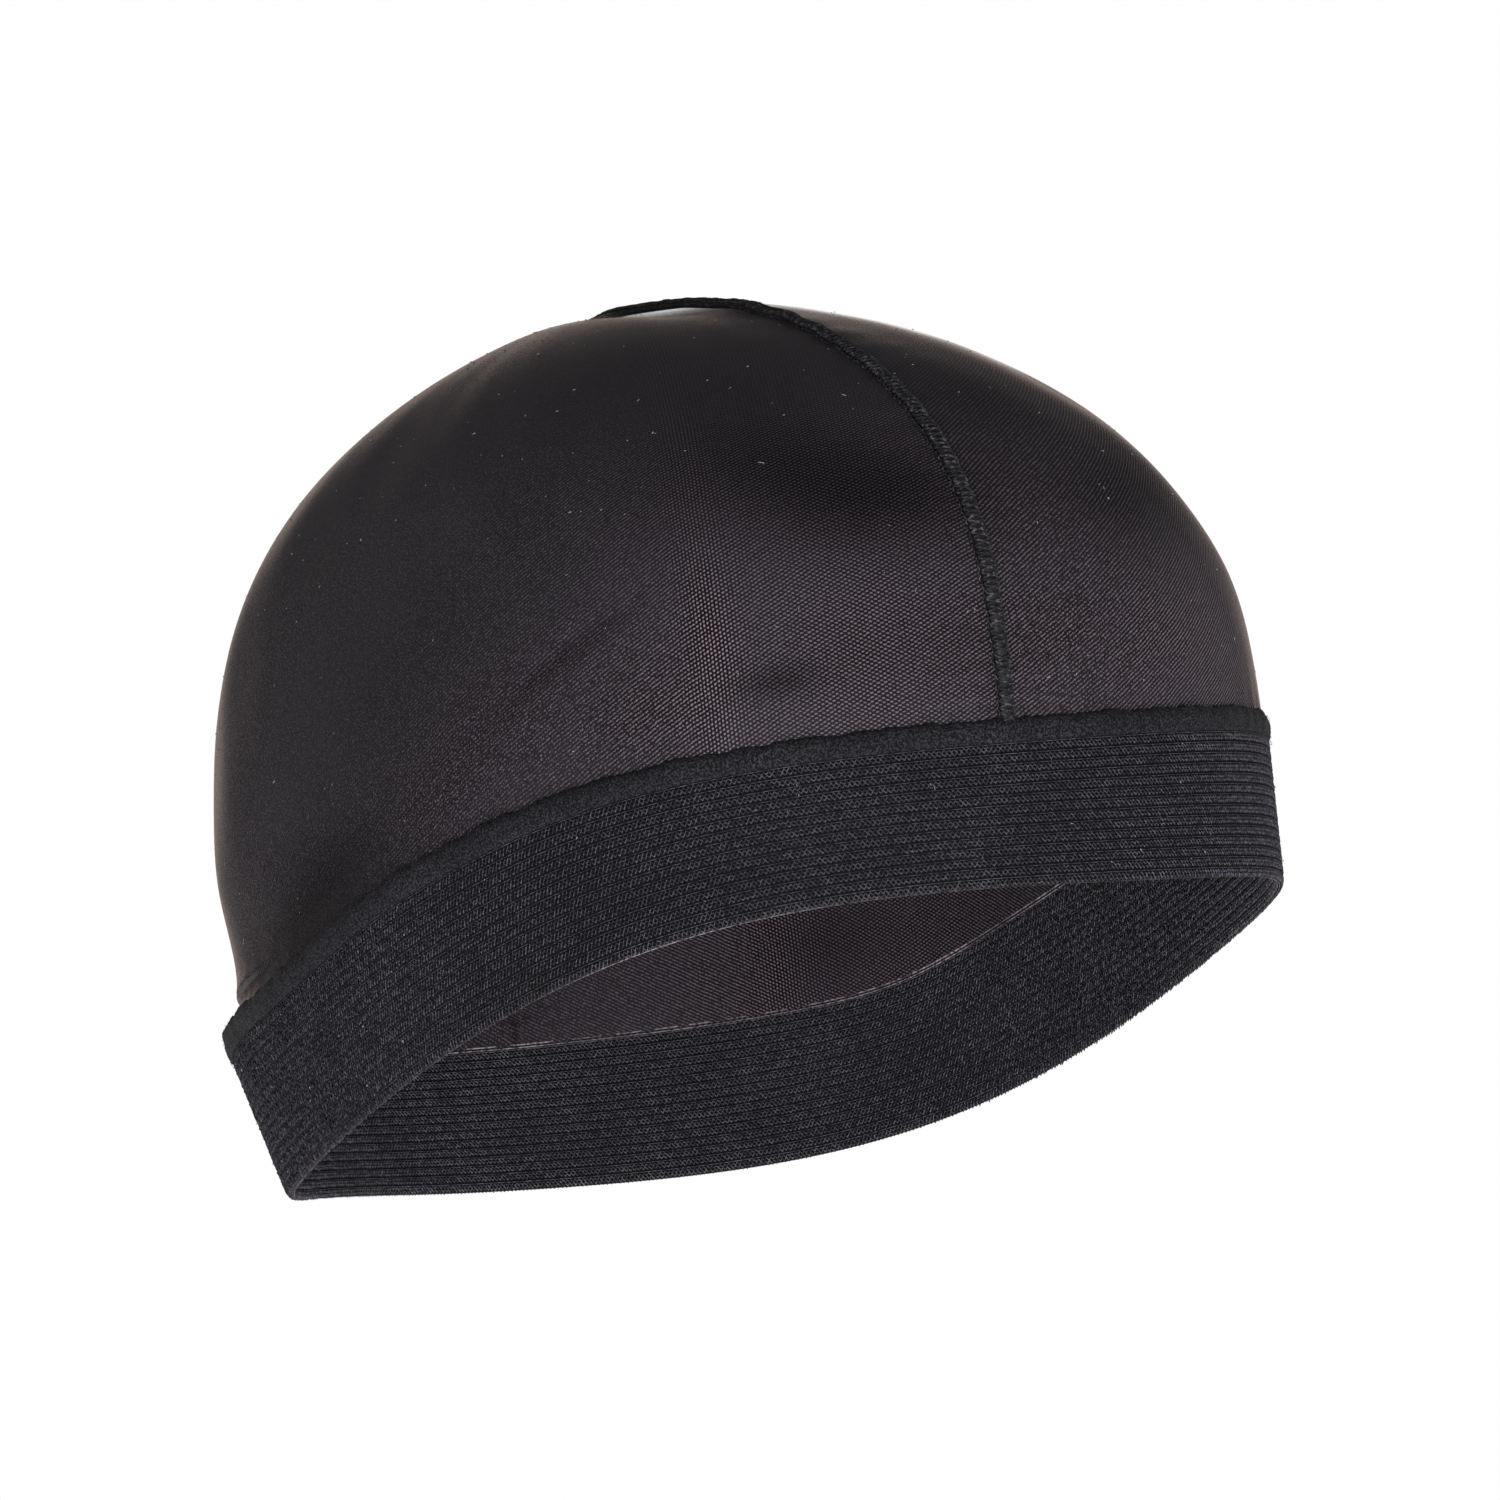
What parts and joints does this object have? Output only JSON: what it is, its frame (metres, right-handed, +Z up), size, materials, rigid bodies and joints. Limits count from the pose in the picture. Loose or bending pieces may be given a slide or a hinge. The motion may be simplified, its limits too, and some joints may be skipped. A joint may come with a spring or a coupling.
{
  "type": "wave cap without ties (stretch dome cap, a plain kind of durag)",
  "caption": "Stretch wave cap in its worn shape: sheer knit crown with a raised centre seam front to back, an overlocked join and a wide ribbed elastic band",
  "frame": {"origin": "the middle of the head opening, level with the middle of the band's lower rim, where the cap sits on a head", "axes": "+Z is up, -Y is the front (forehead) and +Y the nape, +X is the wearer's left"},
  "size_m": [0.1538, 0.207, 0.1404],
  "materials": {
    "crown_knit": "sheer fine black stretch knit with a soft brown-purple sheen",
    "overlock_thread": "matte black overlock stitching, slightly fuzzy",
    "elastic_knit": "black knitted elastic with fine lengthwise ribs of small slanted stitches"
  },
  "bodies": {
    "root": {"crown_panel_right": "crown_knit", "crown_panel_left": "crown_knit", "centre_seam": "overlock_thread", "band_join_seam": "overlock_thread", "elastic_band": "elastic_knit"}
  },
  "joints": []
}
